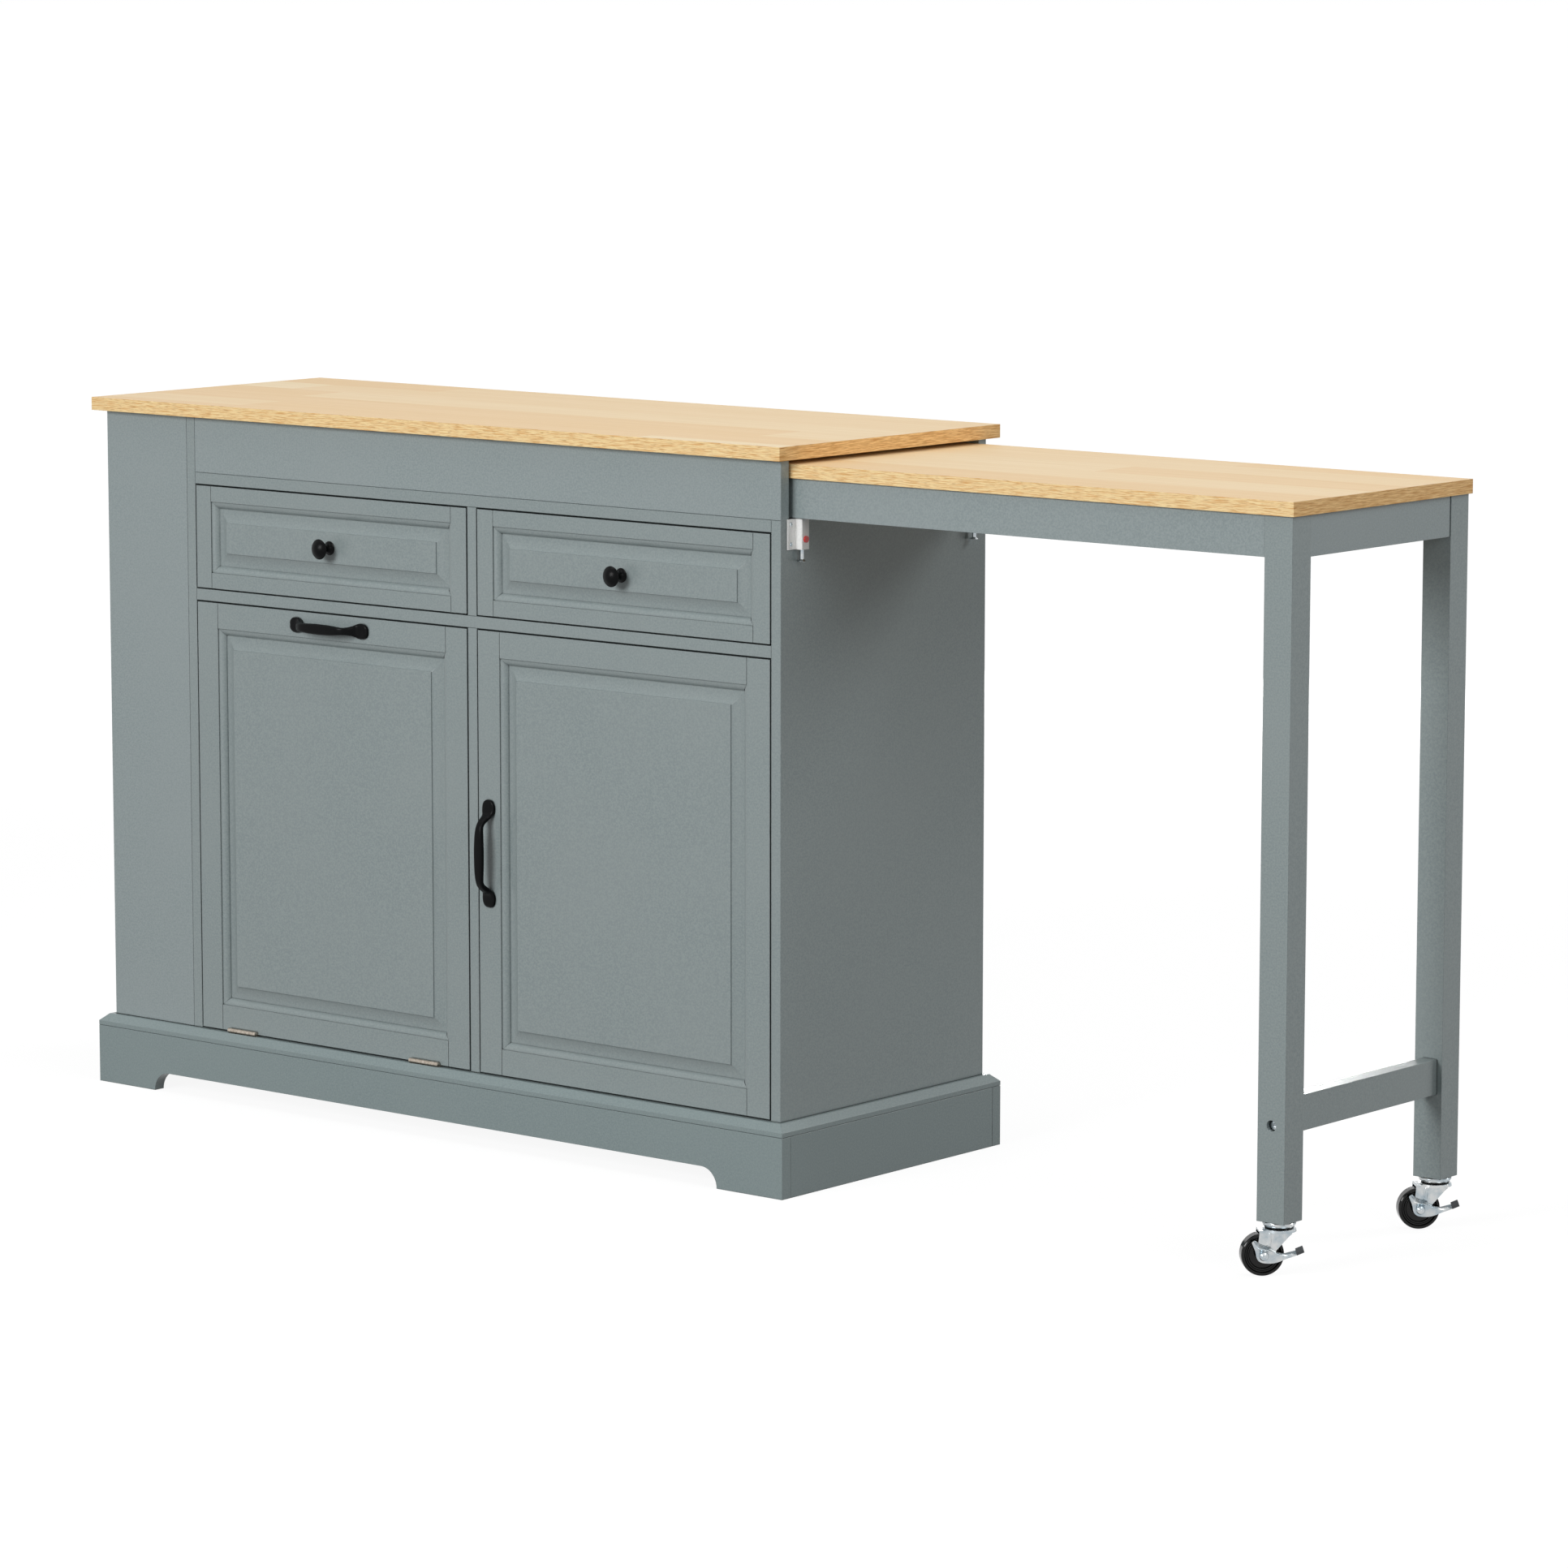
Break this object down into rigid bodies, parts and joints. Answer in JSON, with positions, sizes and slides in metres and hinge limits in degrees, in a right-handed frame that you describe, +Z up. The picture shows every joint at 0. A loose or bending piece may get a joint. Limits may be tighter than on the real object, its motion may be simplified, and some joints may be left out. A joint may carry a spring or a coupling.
{
  "type": "kitchen island",
  "caption": "Painted kitchen island with oak-look worktop, slide-out dining table on braked casters, tilt-out bin door, storage door, drawers and an open side rack.",
  "frame": {"origin": "middle of the island's footprint on the floor, with the table slid out", "axes": "+X towards the slide-out table, +Y towards the island's back, +Z up; doors and drawers face -Y"},
  "size_m": [1.9064, 0.4448, 0.9144],
  "materials": {
    "paint": "satin grey-blue paint over MDF",
    "oak_laminate": "light oak laminate, matte",
    "box_board": "satin grey-blue foil on particle board",
    "black_metal": "satin black powder coat on zinc alloy",
    "zinc_steel": "bright zinc plate",
    "nickel_steel": "satin nickel plate",
    "wheel_plastic": "glossy black hard plastic",
    "white_plastic": "white moulded plastic",
    "red_plastic": "glossy red plastic"
  },
  "bodies": {
    "cabinet": {"worktop": "oak_laminate", "front_fascia": "paint", "back_fascia": "paint", "rack_face_boards": "paint", "left_inner_panel": "paint", "right_side_panel": "paint", "centre_dividers": "paint", "table_deck": "paint", "drawer_shelf": "paint", "cabinet_floor": "paint", "back_panel": "paint", "storage_shelf": "paint", "side_rack": "paint", "plinth_front": "paint", "plinth_back": "paint", "plinth_ends": "paint", "plinth_blocks": "paint", "plinth_cap": "paint", "stop_blocks": "paint", "latch_housings": "white_plastic", "drawer_slides": "zinc_steel", "tilt_hinge_leaves": "nickel_steel", "door_hinge_arms": "zinc_steel"},
    "table": {"table_top": "oak_laminate", "table_rails": "paint", "table_leg_front": "paint", "table_leg_back": "paint", "leg_stretcher": "paint", "stretcher_bolts": "zinc_steel", "table_glides": "white_plastic", "caster_stems": "zinc_steel"},
    "caster_front": {"caster_fork_front": "zinc_steel", "caster_axle_front": "zinc_steel"},
    "wheel_front": {"caster_wheel_front": "wheel_plastic"},
    "lever_front": {"brake_lever_front": "zinc_steel"},
    "caster_back": {"caster_fork_back": "zinc_steel", "caster_axle_back": "zinc_steel"},
    "wheel_back": {"caster_wheel_back": "wheel_plastic"},
    "lever_back": {"brake_lever_back": "zinc_steel"},
    "drawer_left": {"drawer_front_left": "paint", "drawer_box_left": "box_board", "drawer_knob_left": "black_metal", "drawer_runner_left": "zinc_steel"},
    "drawer_right": {"drawer_front_right": "paint", "drawer_box_right": "box_board", "drawer_knob_right": "black_metal", "drawer_runner_right": "zinc_steel"},
    "tilt_door": {"tilt_door_frame": "paint", "tilt_door_panel": "paint", "tilt_door_pull": "black_metal", "tilt_door_leaves": "nickel_steel", "bin_frame": "box_board"},
    "storage_door": {"storage_door_frame": "paint", "storage_door_panel": "paint", "storage_door_pull": "black_metal", "door_hinge_cups": "zinc_steel"},
    "latch_bolt_front": {"latch_bolt_front": "zinc_steel"},
    "latch_bolt_back": {"latch_bolt_back": "zinc_steel"},
    "latch_button_front": {"latch_button_front": "red_plastic"},
    "latch_button_back": {"latch_button_back": "red_plastic"}
  },
  "joints": [
    {"name": "table_slide", "type": "slide", "parent": "cabinet", "child": "table", "axis": [-1, 0, 0], "range_m": [0, 0.644]},
    {"name": "caster_front_swivel", "type": "hinge", "parent": "table", "child": "caster_front", "pos_m": [0.92127, -0.1579, 0.056], "axis": [0, 0, 1], "continuous": true},
    {"name": "wheel_front_roll", "type": "hinge", "parent": "caster_front", "child": "wheel_front", "pos_m": [0.90713, -0.17204, 0.025], "axis": [0.7071, -0.7071, 0], "continuous": true},
    {"name": "lever_front_brake", "type": "hinge", "parent": "caster_front", "child": "lever_front", "pos_m": [0.90713, -0.17204, 0.025], "axis": [-0.7071, 0.7071, 0], "range_deg": [0, 25]},
    {"name": "caster_back_swivel", "type": "hinge", "parent": "table", "child": "caster_back", "pos_m": [0.92127, 0.1646, 0.056], "axis": [0, 0, 1], "continuous": true},
    {"name": "wheel_back_roll", "type": "hinge", "parent": "caster_back", "child": "wheel_back", "pos_m": [0.90713, 0.15046, 0.025], "axis": [0.7071, -0.7071, 0], "continuous": true},
    {"name": "lever_back_brake", "type": "hinge", "parent": "caster_back", "child": "lever_back", "pos_m": [0.90713, 0.15046, 0.025], "axis": [-0.7071, 0.7071, 0], "range_deg": [0, 25]},
    {"name": "drawer_left_slide", "type": "slide", "parent": "cabinet", "child": "drawer_left", "axis": [0, -1, 0], "range_m": [0, 0.25]},
    {"name": "drawer_right_slide", "type": "slide", "parent": "cabinet", "child": "drawer_right", "axis": [0, -1, 0], "range_m": [0, 0.25]},
    {"name": "tilt_door_hinge", "type": "hinge", "parent": "cabinet", "child": "tilt_door", "pos_m": [-0.53573, -0.20105, 0.0943], "axis": [1, 0, 0], "range_deg": [0, 35]},
    {"name": "storage_door_hinge", "type": "hinge", "parent": "cabinet", "child": "storage_door", "pos_m": [0.19577, -0.19765, 0.3745], "axis": [0, 0, 1], "range_deg": [0, 95]},
    {"name": "latch_front_bolt", "type": "slide", "parent": "cabinet", "child": "latch_bolt_front", "axis": [0, 0, 1], "range_m": [0, 0.01]},
    {"name": "latch_front_release", "type": "slide", "parent": "cabinet", "child": "latch_button_front", "axis": [-1, 0, 0], "range_m": [0, 0.0015], "stiffness_N_per_m": 400, "springref_m": -0.001},
    {"name": "latch_back_bolt", "type": "slide", "parent": "cabinet", "child": "latch_bolt_back", "axis": [0, 0, 1], "range_m": [0, 0.01]},
    {"name": "latch_back_release", "type": "slide", "parent": "cabinet", "child": "latch_button_back", "axis": [-1, 0, 0], "range_m": [0, 0.0015], "stiffness_N_per_m": 400, "springref_m": -0.001}
  ]
}
